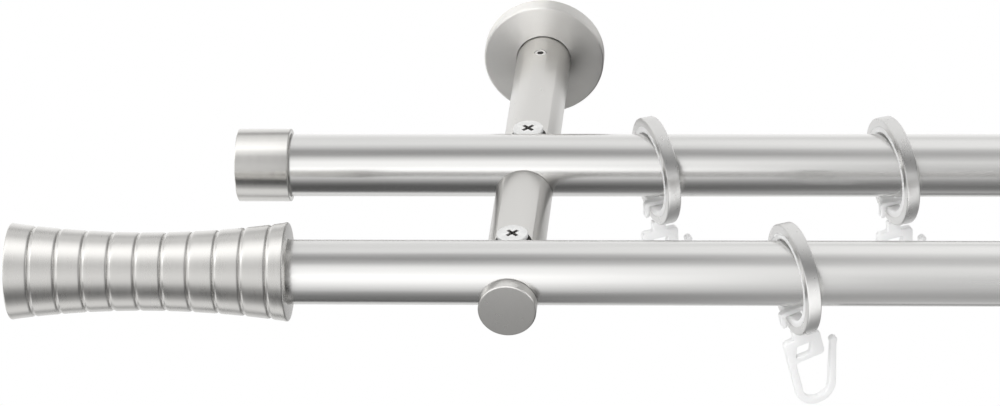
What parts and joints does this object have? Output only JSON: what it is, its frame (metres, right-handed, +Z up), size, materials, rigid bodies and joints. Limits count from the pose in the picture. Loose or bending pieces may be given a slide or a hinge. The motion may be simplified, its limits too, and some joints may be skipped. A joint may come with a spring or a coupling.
{
  "type": "double curtain pole",
  "caption": "Double curtain pole set: round steel poles one behind the other on wall brackets, with grooved waisted finials, end caps, gliding rings and plastic pleat hooks.",
  "frame": {"origin": "on the wall, on the axis of the left bracket's arm", "axes": "+X along the poles to the right, +Y into the wall, so that the room is at -Y, +Z up"},
  "size_m": [0.6304, 0.1653, 0.0652],
  "materials": {
    "satin_steel": "satin nickel look, finely brushed round the turned pieces",
    "plated_steel": "bright zinc plating",
    "screw_steel": "bright, machined",
    "white_plastic": "smooth white",
    "hook_plastic": "milky, slightly see-through"
  },
  "bodies": {
    "brackets_and_poles": {"left_wall_plate": "plated_steel", "left_rosette": "satin_steel", "left_arm": "satin_steel", "left_arm_lock_screw": "screw_steel", "left_rear_clamp_screw": "screw_steel", "left_front_clamp_screw": "screw_steel", "left_finial": "satin_steel", "left_finial_grub_screw": "screw_steel", "left_end_cap": "satin_steel", "left_end_cap_sleeve": "white_plastic", "right_wall_plate": "plated_steel", "right_rosette": "satin_steel", "right_arm": "satin_steel", "right_arm_lock_screw": "screw_steel", "right_rear_clamp_screw": "screw_steel", "right_front_clamp_screw": "screw_steel", "right_finial": "satin_steel", "right_finial_grub_screw": "screw_steel", "right_end_cap": "satin_steel", "right_end_cap_sleeve": "white_plastic", "front_pole": "satin_steel", "rear_pole": "satin_steel"},
    "rear_1_gliding_ring": {"rear_1_ring": "satin_steel", "rear_1_glide_liner": "white_plastic"},
    "rear_1_hanging_hook": {"rear_1_hook": "hook_plastic"},
    "rear_2_gliding_ring": {"rear_2_ring": "satin_steel", "rear_2_glide_liner": "white_plastic"},
    "rear_2_hanging_hook": {"rear_2_hook": "hook_plastic"},
    "rear_3_gliding_ring": {"rear_3_ring": "satin_steel", "rear_3_glide_liner": "white_plastic"},
    "rear_3_hanging_hook": {"rear_3_hook": "hook_plastic"},
    "rear_4_gliding_ring": {"rear_4_ring": "satin_steel", "rear_4_glide_liner": "white_plastic"},
    "rear_4_hanging_hook": {"rear_4_hook": "hook_plastic"},
    "front_1_gliding_ring": {"front_1_ring": "satin_steel", "front_1_glide_liner": "white_plastic"},
    "front_1_hanging_hook": {"front_1_hook": "hook_plastic"},
    "front_2_gliding_ring": {"front_2_ring": "satin_steel", "front_2_glide_liner": "white_plastic"},
    "front_2_hanging_hook": {"front_2_hook": "hook_plastic"},
    "front_3_gliding_ring": {"front_3_ring": "satin_steel", "front_3_glide_liner": "white_plastic"},
    "front_3_hanging_hook": {"front_3_hook": "hook_plastic"}
  },
  "joints": [
    {"name": "rear_1_ring_slide", "type": "slide", "parent": "brackets_and_poles", "child": "rear_1_gliding_ring", "axis": [1, 0, 0], "range_m": [-0.0234, 0.0205]},
    {"name": "rear_1_hook_swing", "type": "hinge", "parent": "rear_1_gliding_ring", "child": "rear_1_hanging_hook", "pos_m": [0.0417, -0.0835, 0.00327], "axis": [0.9205, 0.3907, 0], "range_deg": [-30, 30]},
    {"name": "rear_2_ring_slide", "type": "slide", "parent": "brackets_and_poles", "child": "rear_2_gliding_ring", "axis": [1, 0, 0], "range_m": [-0.023, 0.0209]},
    {"name": "rear_2_hook_swing", "type": "hinge", "parent": "rear_2_gliding_ring", "child": "rear_2_hanging_hook", "pos_m": [0.1168, -0.0835, 0.00327], "axis": [0.9205, 0.3907, 0], "range_deg": [-30, 30]},
    {"name": "rear_3_ring_slide", "type": "slide", "parent": "brackets_and_poles", "child": "rear_3_gliding_ring", "axis": [1, 0, 0], "range_m": [-0.0339, 0.01]},
    {"name": "rear_3_hook_swing", "type": "hinge", "parent": "rear_3_gliding_ring", "child": "rear_3_hanging_hook", "pos_m": [0.2032, -0.0835, 0.00327], "axis": [0.9205, 0.3907, 0], "range_deg": [-30, 30]},
    {"name": "rear_4_ring_slide", "type": "slide", "parent": "brackets_and_poles", "child": "rear_4_gliding_ring", "axis": [1, 0, 0], "range_m": [-0.0335, 0.0234]},
    {"name": "rear_4_hook_swing", "type": "hinge", "parent": "rear_4_gliding_ring", "child": "rear_4_hanging_hook", "pos_m": [0.2783, -0.0835, 0.00327], "axis": [0.9205, 0.3907, 0], "range_deg": [-30, 30]},
    {"name": "front_1_ring_slide", "type": "slide", "parent": "brackets_and_poles", "child": "front_1_gliding_ring", "axis": [1, 0, 0], "range_m": [-0.0689, 0.0085]},
    {"name": "front_1_hook_swing", "type": "hinge", "parent": "front_1_gliding_ring", "child": "front_1_hanging_hook", "pos_m": [0.0872, -0.1485, 0.00327], "axis": [0.9205, 0.3907, 0], "range_deg": [-30, 30]},
    {"name": "front_2_ring_slide", "type": "slide", "parent": "brackets_and_poles", "child": "front_2_gliding_ring", "axis": [1, 0, 0], "range_m": [-0.0327, 0.0197]},
    {"name": "front_2_hook_swing", "type": "hinge", "parent": "front_2_gliding_ring", "child": "front_2_hanging_hook", "pos_m": [0.16, -0.1485, 0.00327], "axis": [0.9205, 0.3907, 0], "range_deg": [-30, 30]},
    {"name": "front_3_ring_slide", "type": "slide", "parent": "brackets_and_poles", "child": "front_3_gliding_ring", "axis": [1, 0, 0], "range_m": [-0.0215, 0.0689]},
    {"name": "front_3_hook_swing", "type": "hinge", "parent": "front_3_gliding_ring", "child": "front_3_hanging_hook", "pos_m": [0.2328, -0.1485, 0.00327], "axis": [0.9205, 0.3907, 0], "range_deg": [-30, 30]}
  ]
}
